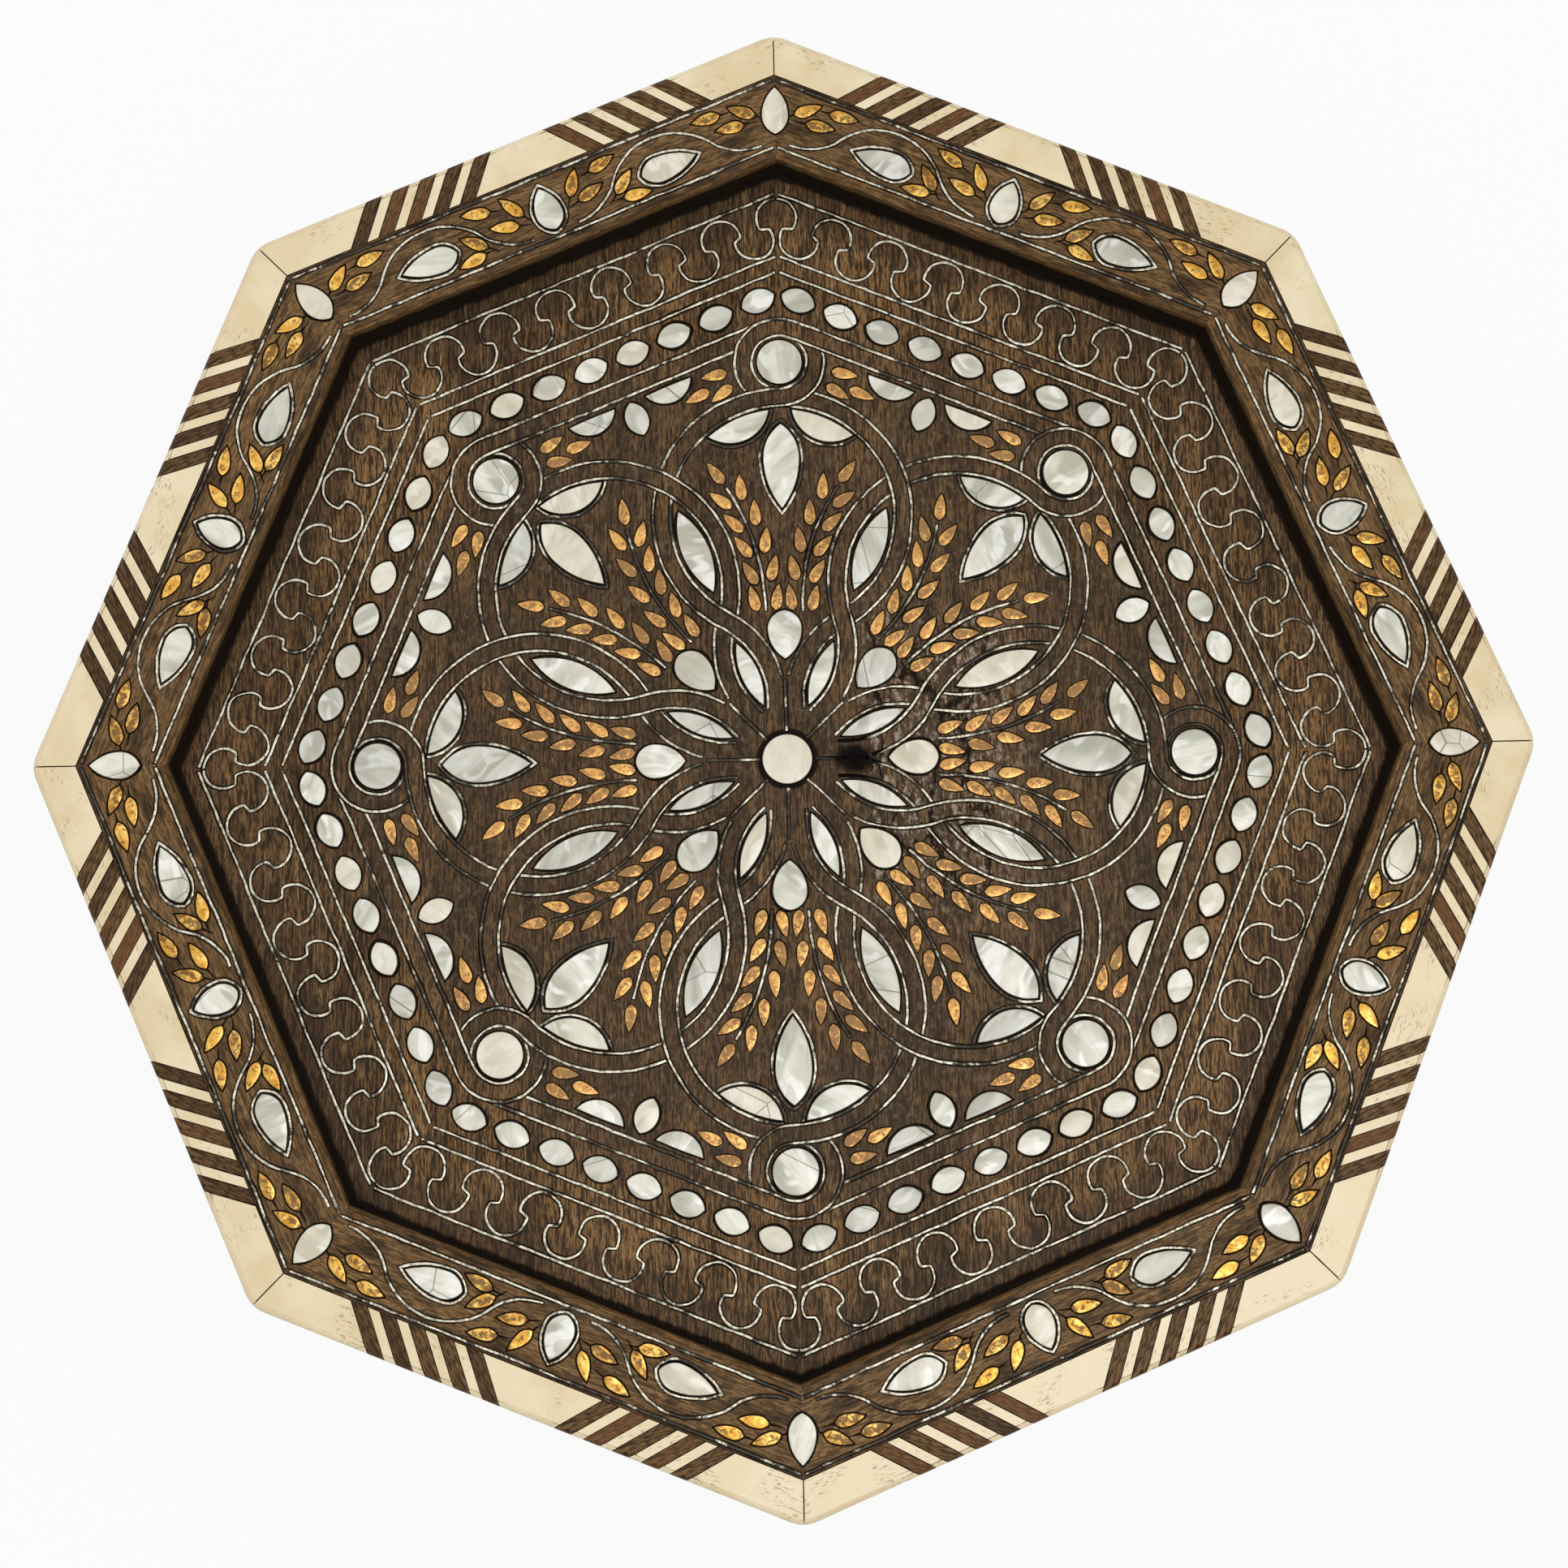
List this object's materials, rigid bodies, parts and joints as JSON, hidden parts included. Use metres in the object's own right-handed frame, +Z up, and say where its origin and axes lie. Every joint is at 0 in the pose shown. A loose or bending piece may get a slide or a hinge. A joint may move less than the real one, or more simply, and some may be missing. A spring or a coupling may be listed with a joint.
{
  "type": "inlaid wooden box",
  "caption": "Octagonal walnut box with a hinged lid, inlaid with mother-of-pearl, brass leaves and tin wire, edged with bone stripes and lined with velvet.",
  "frame": {"origin": "middle of the base board's underside, on the table", "axes": "+Z up; +Y towards the hinged back side, -Y towards the front; +X towards the right side as seen from the front"},
  "size_m": [0.25, 0.25, 0.0981],
  "materials": {
    "walnut": "satin polish",
    "walnut_stripe": "satin polish",
    "spline_wood": "sawn",
    "pearl": "polished nacre",
    "brass_leaf": "hammered",
    "brass_leaf_dark": "hammered, darkened",
    "tin": "hammered",
    "bone": "polished",
    "velvet": "pile",
    "hinge_brass": "dull"
  },
  "bodies": {
    "box": {"base_board": "walnut", "floor_lining": "velvet", "hinge_left_box_leaf": "hinge_brass", "hinge_left_pin": "hinge_brass", "hinge_right_box_leaf": "hinge_brass", "hinge_right_pin": "hinge_brass", "hinge_screws_box": "hinge_brass", "wall_back": "walnut", "wall_back_left": "walnut", "wall_back_right": "walnut", "wall_brass_leaves": "brass_leaf", "wall_front": "walnut", "wall_front_left": "walnut", "wall_front_right": "walnut", "wall_left": "walnut", "wall_lining": "velvet", "wall_pearl_drops": "pearl", "wall_right": "walnut", "wall_splines": "spline_wood", "wall_tin_wires": "tin"},
    "lid": {"bone_centres": "bone", "bone_corners": "bone", "bone_stripes": "bone", "brass_border_leaves": "brass_leaf", "brass_field_leaves": "brass_leaf_dark", "hinge_left_lid_leaf": "hinge_brass", "hinge_right_lid_leaf": "hinge_brass", "hinge_screws_lid": "hinge_brass", "lid_board": "walnut", "lid_lining": "velvet", "lid_rail_back": "walnut", "lid_rail_back_left": "walnut", "lid_rail_back_right": "walnut", "lid_rail_front": "walnut", "lid_rail_front_left": "walnut", "lid_rail_front_right": "walnut", "lid_rail_left": "walnut", "lid_rail_right": "walnut", "lid_side_back": "walnut", "lid_side_back_left": "walnut", "lid_side_back_right": "walnut", "lid_side_front": "walnut", "lid_side_front_left": "walnut", "lid_side_front_right": "walnut", "lid_side_left": "walnut", "lid_side_right": "walnut", "pearl_border_drops": "pearl", "pearl_discs": "pearl", "pearl_fleurs": "pearl", "pearl_half_petals": "pearl", "pearl_inner_drops": "pearl", "pearl_lenses": "pearl", "pearl_seeds": "pearl", "tin_border_wires": "tin", "tin_field_lines": "tin", "tin_field_ribbons": "tin", "tin_field_stems": "tin", "tin_field_wave": "tin", "walnut_stripes": "walnut_stripe"}
  },
  "joints": [
    {"name": "lid_hinge", "type": "hinge", "parent": "box", "child": "lid", "pos_m": [0, 0.117, 0.07], "axis": [-1, 0, 0], "range_deg": [0, 98]}
  ]
}
